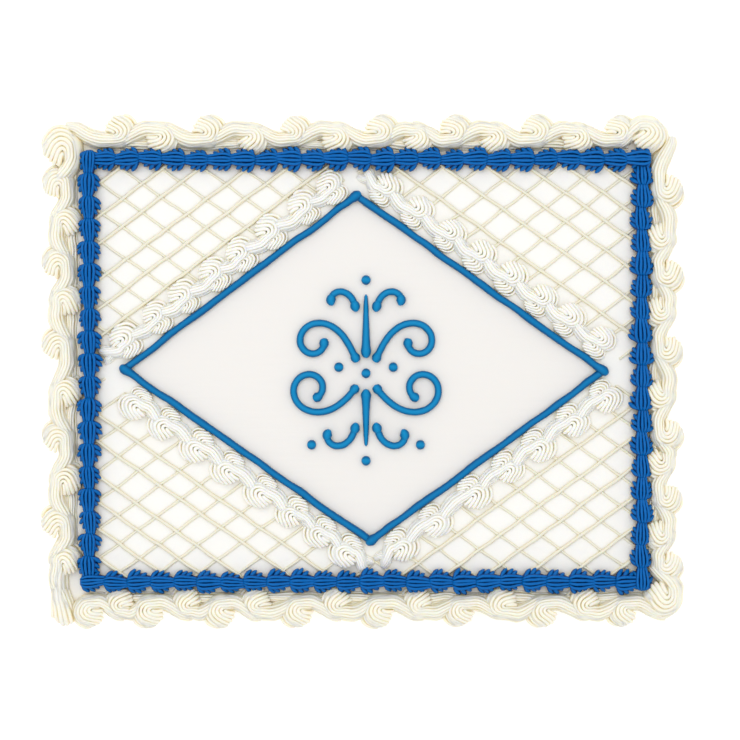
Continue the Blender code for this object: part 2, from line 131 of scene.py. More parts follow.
def pipe(name, strands, nozzle):
    # squeezes every strand through the nozzle; a strand is a list of (x, y, z, radius), in mm
    curve = bpy.data.curves.new(name, "CURVE")
    curve.dimensions = "3D"
    curve.twist_mode = "Z_UP"
    curve.bevel_mode = "OBJECT"
    curve.bevel_object = nozzle
    curve.use_fill_caps = True
    for strand in strands:
        spline = curve.splines.new("POLY")
        spline.points.add(len(strand) - 1)
        for point, (x, y, z, radius) in zip(spline.points, strand):
            point.co = (x * mm, y * mm, z * mm, 1)
            point.radius = radius * mm
    piece = bpy.data.objects.new(name, curve)
    bpy.context.scene.collection.objects.link(piece)
    activate(piece)
    bpy.ops.object.convert(target="MESH")
    piece = bpy.context.object
    piece.name = piece.data.name = name
    # how deep each point lies between two ridges, for the painted crease shade in the material
    groove = list(nozzle["groove"])
    layer = piece.data.attributes.new("groove", "FLOAT", "POINT")
    layer.data.foreach_set("value", [groove[i % len(groove)] for i in range(len(piece.data.vertices))])
    return piece


def closeUp(piece):
    # welds the caps and turns every face outwards
    activate(piece)
    bpy.ops.object.mode_set(mode="EDIT")
    bpy.ops.mesh.select_all(action="SELECT")
    bpy.ops.mesh.remove_doubles(threshold=0.002 * mm)
    bpy.ops.mesh.normals_make_consistent(inside=False)
    bpy.ops.object.mode_set(mode="OBJECT")
    bpy.ops.object.shade_smooth()


def roughen(piece, grain, strength, name):
    # lets the icing waver: grain and strength in mm
    texture = bpy.data.textures.new(name, "CLOUDS")
    texture.noise_scale = grain * mm
    texture.noise_depth = 1
    activate(piece)
    modifier = piece.modifiers.new(name, "DISPLACE")
    modifier.texture = texture
    modifier.texture_coords = "LOCAL"
    modifier.strength = strength * mm
    modifier.mid_level = 0.5
    bpy.ops.object.modifier_apply(modifier=modifier.name)


def place(piece, slot, *nodes):
    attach(piece, "root")
    if nodes:
        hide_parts(*nodes)


# Materials

def butterMaterial(name, light, creaseShade, foldShade, roughness, scatter, grain, bump, gloss=0.5, edge=(0.15, 0.8)):
    # piped buttercream: fat and sugar, so light goes in and comes out warmer; painted shade darkens and warms
    # the colour on the sides of ridges and in folds
    material, tree, shader = newMaterial(name)
    coordinates = addNode(tree, "ShaderNodeTexCoord")
    grooves = addNode(tree, "ShaderNodeAttribute", attribute_name="groove")
    # painted shade: where ambient occlusion finds a fold, the colour goes towards the deep fold colour
    foldOcclusion = addNode(tree, "ShaderNodeAmbientOcclusion", {"Distance": 2.5 * mm}, samples=8)
    foldShadeMask = addNode(tree, "ShaderNodeMapRange", {
        "Value": foldOcclusion.outputs["AO"], "From Min": 0.1, "From Max": 0.75, "To Min": 1, "To Max": 0,
    })
    # painted shade: the sides of each ridge, found by the groove attribute, get the crease colour
    lines = addNode(tree, "ShaderNodeMapRange", {
        "Value": grooves.outputs["Fac"], "From Min": edge[0], "From Max": edge[1],
    })
    tint = addNode(tree, "ShaderNodeMix", {"Factor": lines.outputs["Result"]}, data_type="RGBA")
    tint.inputs[6].default_value = hexToLinear(light)
    tint.inputs[7].default_value = hexToLinear(creaseShade)
    foldShadeMix = addNode(tree, "ShaderNodeMix", {"Factor": foldShadeMask.outputs["Result"]}, data_type="RGBA")
    tree.links.new(tint.outputs[2], foldShadeMix.inputs[6])
    foldShadeMix.inputs[7].default_value = hexToLinear(foldShade)
    tree.links.new(foldShadeMix.outputs[2], shader.inputs["Base Color"])
    shader.inputs["Roughness"].default_value = roughness
    shader.inputs["IOR"].default_value = 1.46
    shader.inputs["Specular IOR Level"].default_value = gloss
    shader.inputs["Subsurface Weight"].default_value = scatter
    shader.inputs["Subsurface Radius"].default_value = (1.0, 0.75, 0.45)
    shader.inputs["Subsurface Scale"].default_value = 1.5 * mm
    speckle = addNode(tree, "ShaderNodeTexNoise", {
        "Vector": coordinates.outputs["Object"], "Scale": 1 / (grain * mm), "Detail": 3.0,
    })
    relief = addNode(tree, "ShaderNodeBump", {
        "Height": speckle.outputs["Fac"], "Strength": 1.0, "Distance": bump * mm,
    })
    tree.links.new(relief.outputs["Normal"], shader.inputs["Normal"])
    return material


print("materials")
# colours on a ridge, then the painted shade in a crease and deep in a fold, then roughness, scatter, grain
# and bump in mm, and gloss
creamIcing = butterMaterial("piped cream buttercream", "fff9e9", "f6e8c2", "f2e2b4", 0.5, 0.45, 0.7, 0.06)
paleIcing = butterMaterial("piped ivory buttercream", "fffdf6", "fcf8e9", "f6ecc8", 0.5, 0.4, 0.7, 0.06)
latticeIcing = butterMaterial(
    "piped thin cream buttercream", "efebd9", "e3dcbe", "d8cea8", 0.5, 0.3, 0.7, 0.06,
)
# much colouring paste: hardly any light comes back out, and the painted shade in the folds is almost black
blueIcing = butterMaterial(
    "piped royal blue buttercream", "0068b8", "001a5e", "000a3a", 0.34, 0.02, 0.8, 0.1, 0.16,
)
# a plain round line is one ridge, so painted shade darkens its colour from the crown down to its sides
roundLineShadeRange = (0, 0.36)
lineIcing = butterMaterial(
    "bright blue piping icing", "0079b6", "00548a", "004270", 0.32, 0.02, 0.9, 0.1, 0.15, roundLineShadeRange,
)
ornamentIcing = butterMaterial(
    "bright blue piping icing, fresh", "068ac4", "006296", "004c7a", 0.3, 0.02, 0.9, 0.1, 0.15, roundLineShadeRange,
)

# the colour next to the piping is partly smeared piping cream, partly painted shade
spreadIcing = {
    "panel": "f0ede9", "cornerFields": "fbfaf6", "smearAndShadeNearPiping": "f1e8cc",
    "lozengeMiddle": (0.7, 1.5), "lozengeHalf": (149.6, 107.8), "streak": 7, "bubble": 0.8,
}


def spreadMaterial(values):
    # white buttercream spread with a palette knife: long faint streaks and a fine grain of air bubbles
    material, tree, shader = newMaterial("spread white buttercream")
    spot = addNode(tree, "ShaderNodeTexCoord").outputs["Object"]
    # next to the piping, where ambient occlusion finds it shut in, it turns cream: partly the piping's colour
    # smeared on, partly painted shade
    pipingOcclusion = addNode(tree, "ShaderNodeAmbientOcclusion", {"Distance": 4 * mm}, samples=8)
    smearAndShadeMask = addNode(tree, "ShaderNodeMapRange", {
        "Value": pipingOcclusion.outputs["AO"], "From Min": 0.2, "From Max": 0.68, "To Min": 1, "To Max": 0,
    })
    # the corner fields are a fresher white than the panel inside the lozenge and the sides
    middleX, middleY = values["lozengeMiddle"]
    halfX, halfY = values["lozengeHalf"]
    moved = addNode(tree, "ShaderNodeVectorMath", {
        0: spot, 1: (middleX * mm, middleY * mm, 0),
    }, operation="SUBTRACT")
    folded = addNode(tree, "ShaderNodeVectorMath", {0: moved.outputs["Vector"]}, operation="ABSOLUTE")
    share = addNode(tree, "ShaderNodeVectorMath", {
        0: folded.outputs["Vector"], 1: (1 / (halfX * mm), 1 / (halfY * mm), 0),
    }, operation="DOT_PRODUCT")
    outside = addNode(tree, "ShaderNodeMapRange", {
        "Value": share.outputs["Value"], "From Min": 1.0, "From Max": 1.05,
    })
    height = addNode(tree, "ShaderNodeSeparateXYZ", {"Vector": spot}).outputs["Z"]
    onTop = addNode(tree, "ShaderNodeMapRange", {"Value": height, "From Min": 54 * mm, "From Max": 60 * mm})
    field = addNode(tree, "ShaderNodeMath", {
        0: outside.outputs["Result"], 1: onTop.outputs["Result"],
    }, operation="MULTIPLY")
    base = addNode(tree, "ShaderNodeMix", {"Factor": field.outputs["Value"]}, data_type="RGBA")
    base.inputs[6].default_value = hexToLinear(values["panel"])
    base.inputs[7].default_value = hexToLinear(values["cornerFields"])
    tint = addNode(tree, "ShaderNodeMix", {"Factor": smearAndShadeMask.outputs["Result"]}, data_type="RGBA")
    tree.links.new(base.outputs[2], tint.inputs[6])
    tint.inputs[7].default_value = hexToLinear(values["smearAndShadeNearPiping"])
    tree.links.new(tint.outputs[2], shader.inputs["Base Color"])
    shader.inputs["Roughness"].default_value = 0.55
    shader.inputs["IOR"].default_value = 1.46
    shader.inputs["Subsurface Weight"].default_value = 0.1
    shader.inputs["Subsurface Radius"].default_value = (1.0, 0.8, 0.6)
    shader.inputs["Subsurface Scale"].default_value = 1.5 * mm
    stretch = addNode(tree, "ShaderNodeMapping", {"Vector": spot, "Scale": (0.12, 1, 1)})
    streaks = addNode(tree, "ShaderNodeTexNoise", {
        "Vector": stretch.outputs["Vector"], "Scale": 1 / (values["streak"] * mm), "Detail": 2.0,
    })
    bubbles = addNode(tree, "ShaderNodeTexNoise", {
        "Vector": spot, "Scale": 1 / (values["bubble"] * mm), "Detail": 2.0,
    })
    waves = addNode(tree, "ShaderNodeBump", {"Height": streaks.outputs["Fac"], "Distance": 0.25 * mm})
    grain = addNode(tree, "ShaderNodeBump", {
        "Height": bubbles.outputs["Fac"], "Distance": 0.04 * mm, "Normal": waves.outputs["Normal"],
    })
    tree.links.new(grain.outputs["Normal"], shader.inputs["Normal"])
    return material


whiteIcing = spreadMaterial(spreadIcing)

# The iced body

cakeShape = {"length": 380, "width": 301, "height": 60, "corner": 9, "topEdge": 4}
print("iced body")
deselectAll()
bpy.ops.mesh.primitive_cube_add(size=1, location=(0, 0, cakeShape["height"] / 2 * mm))
cakeBody = bpy.context.object
cakeBody.name = cakeBody.data.name = "spread_icing_body"
cakeBody.scale = (cakeShape["length"] * mm, cakeShape["width"] * mm, cakeShape["height"] * mm)
bpy.ops.object.transform_apply(location=True, rotation=True, scale=True)
weights = cakeBody.data.attributes.new("bevel_weight_edge", "FLOAT", "EDGE")
for edge in cakeBody.data.edges:
    a, b = (cakeBody.data.vertices[i].co.z for i in edge.vertices)
    if abs(a - b) > 1 * mm:
        weights.data[edge.index].value = 1
    elif min(a, b) > 1 * mm:
        weights.data[edge.index].value = cakeShape["topEdge"] / cakeShape["corner"]
rounding = cakeBody.modifiers.new("rounded edges", "BEVEL")
rounding.limit_method = "WEIGHT"
rounding.width = cakeShape["corner"] * mm
rounding.segments = 8
bpy.ops.object.modifier_apply(modifier=rounding.name)
bpy.ops.object.shade_smooth()
bpy.ops.object.shade_smooth_by_angle(angle=math.radians(30))
paint(cakeBody, whiteIcing)
place(cakeBody, "white_icing", "iced_cake")

topZ = cakeShape["height"]

# The sides: forward is the way the piping runs, counter-clockwise seen from above

sides = {
    "back": {"forward": Vector((-1, 0)), "outward": Vector((0, 1)), "border": 147.6, "shells": 132.2},
    "left": {"forward": Vector((0, -1)), "outward": Vector((-1, 0)), "border": 187.9, "shells": 170.5},
    "front": {"forward": Vector((1, 0)), "outward": Vector((0, -1)), "border": 147.6, "shells": 131.2},
    "right": {"forward": Vector((0, 1)), "outward": Vector((1, 0)), "border": 187.9, "shells": 174.3},
}
nextSide = {"back": "left", "left": "front", "front": "right", "right": "back"}
sideBefore = {after: before for before, after in nextSide.items()}

# Cream scroll border

# One stroke of the star tip: its ridges start on a rim, sweep round the curl and run on together as a rope.
# Each row of the curl gives forward, outward and height, each for the outermost, the middle and the
# innermost ridge.
strokeShape = {
    "ridges": 7, "spacing": 0.9, "ridge": 1.34, "ropeRidge": 1.06, "tip": 0.8,
    # the core: its largest radius, how far it lies under the ridges, and its spacing
    "core": 6.0, "sink": 0.7, "coreSpacing": 1.2,
    "curl": (
        ((-0.6, 6.2, 9.8), (11.4, 8.8, 2.4), (2.2, 4.8, 4.4)),
        ((-3.2, 3.0, 7.6), (10.8, 6.8, 2.0), (2.6, 6.9, 6.4)),
        ((-6.8, -0.6, 5.4), (8.4, 4.6, 1.3), (1.8, 7.6, 7.4)),
        ((-8.8, -2.4, 4.4), (3.8, 1.6, 0.7), (1.6, 7.6, 7.2)),
        ((-7.8, -1.8, 4.6), (-1.4, -1.4, 0.3), (2.0, 7.3, 6.4)),
        ((-3.4, 0.6, 6.0), (-6.0, -3.6, 0.1), (1.8, 7.2, 5.0)),
        ((3.2, 5.6, 8.4), (-8.4, -4.0, 0.4), (1.2, 7.0, 3.4)),
    ),
    # share of the way to the next stroke, middle, half width, and heights of the edges and the middle
    "rope": (
        (0.44, -4.0, 4.9, 1.2, 7.0), (0.6, -2.6, 5.0, 1.4, 7.0), (0.76, -0.2, 4.8, 1.6, 6.6),
        (0.92, 2.4, 4.4, 1.4, 5.6), (1.06, 4.4, 3.6, 1.0, 4.0), (1.18, 5.6, 2.4, 0, 1.2),
    ),
}
borderShape = {
    "shift": {1: 0.6, -1: 1.6},
    "start": {"back": -180, "left": -119, "front": -172, "right": -143},
    "steps": {
        "back": (18, 26, 26, 26, 25, 23, 23, 27, 27, 26, 28, 28, 27),
        "left": (24, 26, 23, 28, 29, 29, 26, 27, 23),
        "front": (19, 18, 24, 21, 22, 26, 24, 26, 25, 26, 26, 26, 26, 24),
        "right": (20, 19, 23, 22, 18, 24, 28, 24, 23, 23, 30),
    },
    "lastReach": {"back": 30, "left": 31, "front": 24, "right": 30},
    # two runs begin with a bigger stroke that curls inwards round the corner
    "cornerSize": {"back": 1.15, "right": 1.2}, "cornerShift": -1.5,
    # the broad swirl on the back left corner: where it stands, size, shift, stretch and reach
    "swirl": (-141, 1.2, -2.4, 1.1, 25),
    # the left run spreads and stops on the front left corner: forward, middle, half width and height
    "flare": (
        (114, -2.6, 3.8, 4.4), (122, 0.6, 4.6, 6.2), (131, 1.6, 4.6, 6.8), (140, 1.0, 4.8, 6.8),
        (147, -0.4, 5.8, 6.8), (153, -1.6, 6.8, 6.2), (158, -2.4, 6.4, 3.4),
    ),
    # a low bed of icing between the strokes and the blue shells: middle, half width and height
    "bed": (-6.2, 3.4, 2.6),
    # where the bed starts and stops, measured from the borders of the sides before and after
    "bedEnds": (22, 26), "bedSteps": 24,
    # number and radius of the ridges on that end and on the bed
    "flareRidges": (6, 1.27), "bedRidges": (5, 1.1),
    # past the first place outwards the icing droops, and past the second inwards it sinks
    "droop": (1.0, 0.02), "sink": (6, 0.5),
    # grain and strength of the unevenness
    "waver": (5, 0.5),
}


def arched(share, values):
    # the value at a share of the way from the first edge over the middle to the other edge
    first, middle, last = values
    return (
        first * (1 - share) * (1 - 2 * share) + middle * 4 * share * (1 - share)
        + last * share * (2 * share - 1)
    )


def stroke(shape, sign, reach, size, shift, stretch, draw):
    # ridges and core of one stroke as (forward, outward, height, radius)
    lines = []
    swing = draw.uniform(-0.2, 0.14)
    count = shape["ridges"]
    for index in range(count):
        share = index / (count - 1)
        knots = []
        ragged = draw.uniform(-0.7, 0.7)
        for step, (us, vs, heights) in enumerate(shape["curl"]):
            u, v = arched(share, us), arched(share, vs)
            turn = swing * max(0.0, 1 - step / 3)
            u, v = u * math.cos(turn) - v * math.sin(turn), u * math.sin(turn) + v * math.cos(turn)
            radius = shape["ridge"] + (shape["ropeRidge"] - shape["ridge"]) * step / (len(shape["curl"]) - 1)
            knots.append((u * size * stretch, v * size + shift, arched(share, heights) * size, radius * size))
        for part, middle, half, low, high in shape["rope"]:
            v = (middle + half * (2 * share - 1)) * size
            radius = shape["ropeRidge"] * (1.0 if part < 0.95 else 0.8)
            height = arched(share, (low, high, low)) * size
            knots.append((part * reach, v + shift * (1 - part), height, radius * size))
        # the ridge breaks off in a rounded end, each a little sooner or later
        first, second = Vector(knots[0][:3]), Vector(knots[1][:3])
        way = (first - second).normalized() * size
        thick = knots[0][3]
        knots[0] = (*(first + way * ragged), thick * 0.95)
        knots.insert(0, (*(first + way * (ragged + shape["tip"])), thick * 0.75))
        knots.insert(0, (*(first + way * (ragged + shape["tip"] * 1.7)), thick * 0.3))
        path = smoothPath(knots, shape["spacing"] * size)
        lines.append([(u, sign * v, z, radius) for u, v, z, radius in path])
    core = []
    for step, (us, vs, heights) in enumerate(shape["curl"]):
        radius = min(math.dist((us[0], vs[0]), (us[2], vs[2])) / 2, shape["core"]) * (0.6 if step == 0 else 1)
        height = (heights[1] - shape["sink"] - radius) * size
        core.append((us[1] * size * stretch, vs[1] * size + shift, height, radius * size))
    for part, middle, half, _, high in shape["rope"]:
        radius = min(half, high)
        height = (high - shape["sink"] - radius) * size
        core.append((part * reach, middle * size + shift * (1 - part), height, radius * size))
    path = smoothPath(core, shape["coreSpacing"] * size)
    return lines, [(u, sign * v, z, radius) for u, v, z, radius in path]


def flaredEnd(knots, count, ridge, draw):
    # a rope that spreads at its end
    lines = []
    for index in range(count):
        share = index / (count - 1)
        line = [
            (u, middle + half * (2 * share - 1), arched(share, (1.4, high, 1.4)), ridge * (0.4 + half / 7.6))
            for u, middle, half, high in knots
        ]
        u, v, z, wide = line[-1]
        # the outer ridges stop first, so the end is round
        longer = draw.uniform(-0.4, 0.5) - 5.0 * (2 * share - 1) ** 2
        line[-1] = (u + longer, v, z, wide)
        line.append((u + longer + 1.2, v, z - 0.6, wide * 0.5))
        lines.append(smoothPath(line, 1.0))
    core = [(u, middle, high * 0.4, min(half, high * 0.66)) for u, middle, half, high in knots]
    return lines, smoothPath(core, 1.2)


def waver(points, wobble):
    # a hand that isn't quite steady
    path = []
    for u, v, z, radius in points:
        shake = noise.noise(Vector((u * 0.12 + wobble * 7.3, v * 0.12, wobble)))
        path.append((u, v + 0.5 * shake, z, radius * (1 + 0.1 * shake)))
    return path


def droop(outward, z):
    # icing that hangs over the cake's edge sinks a little, and so does what the blue shells are piped over
    edge, bend = borderShape["droop"]
    inside, slope = borderShape["sink"]
    over = max(0.0, outward - edge)
    under = max(0.0, -outward - inside)
    return z - bend * over * over - slope * under


def joinTo(piece, other):
    activate(piece)
    other.select_set(True)
    bpy.ops.object.join()


print("cream scroll border")
ridgeNozzle = makeNozzle("one tooth of the tip", 8)
coreNozzle = makeNozzle("round tip under the ridges", 14, -0.7)
bedNozzle = makeNozzle("round tip under the strokes", 14, -0.35)
for order, (side, line) in enumerate(sides.items()):
    draw = random.Random(40 + order)
    steps = borderShape["steps"][side] + (borderShape["lastReach"][side],)
    station = borderShape["start"][side]
    strokes = []
    sign = 1
    for index, reach in enumerate(steps):
        size = draw.uniform(0.95, 1.05)
        shift = borderShape["shift"][sign]
        if index == 0 and side in borderShape["cornerSize"]:
            sign, size, shift = -1, borderShape["cornerSize"][side], borderShape["cornerShift"]
        strokes.append((station, stroke(strokeShape, sign, reach, size, shift, 1, draw)))
        station += reach
        sign = -sign
    if side == "left":
        where, size, shift, stretch, reach = borderShape["swirl"]
        strokes.append((where, stroke(strokeShape, 1, reach, size, shift, stretch, draw)))
        strokes.append((0, flaredEnd(borderShape["flare"], *borderShape["flareRidges"], draw)))
    middle, half, high = borderShape["bed"]
    bedStart = -sides[sideBefore[side]]["border"] + borderShape["bedEnds"][0]
    bedStop = sides[nextSide[side]]["border"] - borderShape["bedEnds"][1]
    bedSteps = borderShape["bedSteps"]
    bed = [
        (
            bedStart + (bedStop - bedStart) * step / bedSteps, middle + draw.uniform(-1.0, 1.0),
            half * draw.uniform(0.7, 1.1), high * draw.uniform(0.7, 1.1),
        )
        for step in range(bedSteps + 1)
    ]
    strokes.append((0, flaredEnd(bed, *borderShape["bedRidges"], draw)))
    ridges = []
    cores = []
    for index, (station, (lines, core)) in enumerate(strokes):
        for paths, kept in ((lines, ridges), ([core], cores)):
            for path in paths:
                strand = []
                moved = [(station + u, v, z, radius) for u, v, z, radius in path]
                for u, v, z, radius in waver(moved, order * 31 + index):
                    spot = line["forward"] * u + line["outward"] * (line["border"] + v)
                    strand.append((spot.x, spot.y, topZ + droop(v, z), radius))
                kept.append(strand)
    run = pipe(f"cream_scrolls_{side}", ridges, ridgeNozzle)
    joinTo(run, pipe(f"scroll_cores_{side}", cores, bedNozzle))
    closeUp(run)
    roughen(run, *borderShape["waver"], f"waver {side}")
    paint(run, creamIcing)
    place(run, "cream_icing", f"cream_border_{side}")

# Blue shells

shellShape = {
    "pitch": 14.2, "drawnPitch": 14.2, "size": 1.0, "spacing": 1.1, "waver": (1.6, 0.5),
    # places along, across and up and the radius, for a shell at the drawn pitch
    "core": (
        (-3.0, 0, 1.0, 2.6), (-1.4, 0, 1.5, 4.7), (0.6, 0, 1.7, 5.7), (3.4, 0, 1.8, 5.6),
        (7, 0, 1.9, 4.3), (10.2, 0, 2.2, 3.1), (12.6, 0, 2.4, 2.7), (15.4, 0, 2.2, 2.6),
    ),
    # the long ridges as shares of the ridge's place across
    "ridges": (-1.5, -0.5, 0.5, 1.5),
    "ridge": (
        (-3.2, 0.7, 5.0, 0.6), (-2.2, 1.5, 6.7, 0.95), (0.4, 2.2, 7.9, 1.05), (3.8, 2.2, 7.7, 1.05),
        (8.0, 1.8, 6.4, 1.0), (12.4, 1.3, 5.6, 0.95), (15.6, 1.2, 4.8, 0.8),
    ),
    # the fins on each side, as places along and reach
    "fins": ((0.4, 1.02), (3.7, 0.98), (6.8, 0.78)),
    "fin": (
        (-2.4, 1.4, 6.2, 0.8), (-1.9, 3.2, 5.9, 1.3), (-1.0, 4.7, 4.7, 1.55), (0.1, 5.8, 3.3, 1.4),
        (0.9, 6.6, 2.4, 0.95), (1.3, 7.0, 2.0, 0.45),
    ),
}


def shellRow(shape, start, end, base, seed):
    # shells in a row: the core of each, its long ridges and the fins that fan out at its head
    draw = random.Random(seed)
    length = (end - start).length
    forward = (end - start).normalized()
    across = Vector((-forward.y, forward.x))
    count = round(length / shape["pitch"])
    pitch = length / count
    cores = []
    ridges = []
    for index in range(count):
        size = shape["size"] * draw.uniform(0.92, 1.1)
        stretch = pitch / shape["drawnPitch"]
        shift = draw.uniform(-0.6, 0.6)
        lean = draw.uniform(-0.06, 0.06)

        def line(knots, tail=False):
            strand = []
            if tail and index == count - 1:
                # the last shell is drawn off to a point
                along, off, z, _ = knots[-1]
                knots = [*knots[:-1], (along - 1.6 * stretch, off * 0.3, z * 0.7, 0.3)]
            for along, off, z, radius in smoothPath(knots, shape["spacing"] * shape["size"]):
                there = index * pitch + 3 * stretch + along
                spot = start + forward * there + across * (off + shift + lean * along)
                strand.append((spot.x, spot.y, base + z, radius))
            return strand

        core = [(a * stretch, b * size, z * size, r * size) for a, b, z, r in shape["core"]]
        cores.append(line(core, True))
        for offset in shape["ridges"]:
            drift = draw.uniform(-0.2, 0.2)
            ridge = [
                (a * stretch, (b * offset + drift) * size, (z - 0.35 * abs(offset)) * size, r * size)
                for a, b, z, r in shape["ridge"]
            ]
            ridges.append(line(ridge, True))
        for hand in (-1, 1):
            for ahead, out in shape["fins"]:
                ahead += draw.uniform(-0.4, 0.4)
                out *= draw.uniform(0.9, 1.08)
                fin = [
                    ((a + ahead) * stretch, hand * b * out * size, z * size, r * size)
                    for a, b, z, r in shape["fin"]
                ]
                ridges.append(line(fin))
    return cores, ridges


print("blue shells")
for order, (side, line) in enumerate(sides.items()):
    before, after = sides[sideBefore[side]], sides[nextSide[side]]
    start = line["outward"] * line["shells"] - line["forward"] * (before["shells"] + 5)
    end = line["outward"] * line["shells"] + line["forward"] * (after["shells"] - 2)
    cores, ridges = shellRow(shellShape, start, end, topZ, 70 + order)
    run = pipe(f"blue_star_shells_{side}", ridges, ridgeNozzle)
    joinTo(run, pipe(f"shell_cores_{side}", cores, coreNozzle))
    closeUp(run)
    roughen(run, *shellShape["waver"], f"ruffle {side}")
    paint(run, blueIcing)
    place(run, "royal_blue_icing", f"blue_shells_{side}")

# Lozenge

lozenge = {
    "back": Vector((-3.8, 109.7)), "left": Vector((-148.7, 1.4)),
    "front": Vector((5.1, -106.0)), "right": Vector((150.6, 0.1)),
}
# the line starts in a bead on each corner: places along it and the radius there
lineShape = {
    "radius": 2.3, "step": 11, "sway": 0.5, "waver": (3, 0.35),
    "bead": ((-2.6, 0.9), (-1.8, 2.3), (-0.3, 3.3), (1.6, 3.2), (4.5, 2.5), (9, 2.3)),
}

print("lozenge line")
roundNozzle = makeNozzle("round tip", 16)
strands = []
corners = ("back", "left", "front", "right")
for order, (a, b) in enumerate(zip(corners, corners[1:] + corners[:1])):
    start, end = lozenge[a], lozenge[b]
    along = (end - start).normalized()
    across = Vector((-along.y, along.x))
    length = (end - start).length
    knots = [(x, 0, 0, radius) for x, radius in lineShape["bead"]]
    draw = random.Random(200 + order)
    x = 14
    while x < length - 6:
        sway = draw.uniform(-lineShape["sway"], lineShape["sway"])
        knots.append((x, sway, 0, lineShape["radius"] * draw.uniform(0.93, 1.07)))
        x += lineShape["step"]
    knots.append((length - 1, 0, 0, lineShape["radius"]))
    strand = []
    for x, off, _, radius in smoothPath(knots, 1.5):
        spot = start + along * x + across * off
        strand.append((spot.x, spot.y, topZ + radius * 0.8, radius))
    strands.append(strand)
lozengeLine = pipe("lozenge_round_line", strands, roundNozzle)
closeUp(lozengeLine)
roughen(lozengeLine, *lineShape["waver"], "waver line")
paint(lozengeLine, lineIcing)
place(lozengeLine, "bright_blue_icing", *[f"lozenge_line_{corner}" for corner in corners])

# Cream scrolls along the lozenge

smallStroke = dict(strokeShape, ridges=6, ridge=1.5, ropeRidge=1.25)
smallScroll = {
    "offset": 13.2, "lastReach": 16, "waver": (4, 0.3),
    # a pair at each place, one curling away from the lozenge and one towards it: sign, size, shift,
    # stretch and how far ahead
    "pair": ((1, 0.76, 1.6, 1.2, 0), (-1, 0.54, 4.0, 1.45, 1)),
    # the corners that each run goes between, and where its pairs stand, measured from the first of them
    "runs": {
        "left_back": (("back", "left"), (8.6, 29.9, 55.5, 78.6, 99.3, 123, 144.3, 168.7)),
        "right_back": (("right", "back"), (11.5, 35.2, 56.5, 80.2, 104, 126.5, 151.5, 175.9)),
        "right_front": (("right", "front"), (7.5, 33, 59.4, 82.5, 109, 139, 165)),
        "left_front": (("left", "front"), (17.3, 39.2, 63.6, 87.4, 112.4, 136.1, 157.4, 177.4)),
    },
}

print("lozenge scrolls")
cornerFields = {
    "left_back": ("left", "back"), "right_back": ("right", "back"),
    "right_front": ("right", "front"), "left_front": ("left", "front"),
}
for order, (corner, (ends, stations)) in enumerate(smallScroll["runs"].items()):
    first, last = lozenge[ends[0]], lozenge[ends[1]]
    forward = (last - first).normalized()
    outward = Vector((forward.y, -forward.x))
    if outward.dot(first + last) < 0:
        outward = -outward
    draw = random.Random(90 + order)
    ridges = []
    cores = []
    for index, station in enumerate(stations):
        following = stations[index + 1] if index + 1 < len(stations) else station + smallScroll["lastReach"]
        for sign, size, shift, stretch, ahead in smallScroll["pair"]:
            size *= draw.uniform(0.94, 1.06)
            lines, core = stroke(smallStroke, sign, following - station, size, shift, stretch, draw)
            for paths, kept in ((lines, ridges), ([core], cores)):
                for path in paths:
                    strand = []
                    for u, v, z, radius in waver(path, 200 + order * 31 + index):
                        spot = first + forward * (station + ahead + u) + outward * (smallScroll["offset"] + v)
                        strand.append((spot.x, spot.y, topZ + z, radius))
                    kept.append(strand)
    piece = pipe(f"small_cream_scrolls_{corner}", ridges, ridgeNozzle)
    joinTo(piece, pipe(f"small_scroll_cores_{corner}", cores, bedNozzle))
    closeUp(piece)
    roughen(piece, *smallScroll["waver"], f"waver {corner}")
    paint(piece, paleIcing)
    place(piece, "cream_icing", f"lozenge_scrolls_{corner}")

# Lattice

latticeShape = {
    "radius": 1.05, "pitch": 14.8, "count": 14, "inset": 1.5, "borderGap": 12, "waver": (3, 0.3),
    # how far each line along the lozenge lies from it
    "along": {
        "left_back": (25.7, 40, 54.5, 72.6, 86.4, 103), "right_back": (28.8, 46.3, 62.6, 77.3, 91, 105),
        "right_front": (28.9, 44.8, 59.8, 74.9, 90.8, 106), "left_front": (33, 47, 64.7, 77.9, 91.6, 106),
    },
    # heading of the lines under them in degrees, and how far the nearest one passes the middle of the cake
    "across": {
        "left_back": (-35.0, -2.3), "right_back": (37.5, 3.1),
        "right_front": (-36.0, 2.9), "left_front": (36.0, -2.2),
    },
    # heights over the icing of the lines beneath and of those on top, and how much thinner the first are
    "heights": (0.3, 0.9), "thinner": 0.85,
}


def clip(start, end, planes):
    # the stretch of a line on the inner side of every plane, or None
    low, high = 0.0, 1.0
    for point, normal in planes:
        ahead = (start - point).dot(normal)
        change = (end - start).dot(normal)
        if abs(change) < 1e-9:
            if ahead < 0:
                return None
            continue
        where = -ahead / change
        if change > 0:
            low = max(low, where)
        else:
            high = min(high, where)
    if (high - low) * (end - start).length < 8:
        return None
    return start.lerp(end, low), start.lerp(end, high)


def latticeStrand(start, end, height, radius, draw):
    length = (end - start).length
    run = (end - start).normalized()
    across = Vector((-run.y, run.x))
    knots = [(0, 0, 0, radius * 0.8)]
    x = 8
    while x < length - 6:
        knots.append((x, draw.uniform(-0.35, 0.35), 0, radius * draw.uniform(0.9, 1.1)))
        x += 9
    knots.append((length, 0, 0, radius * 0.8))
    strand = []
    for x, off, _, size in smoothPath(knots, 2.0):
        spot = start + run * x + across * off
        strand.append((spot.x, spot.y, topZ + height, size))
    return strand


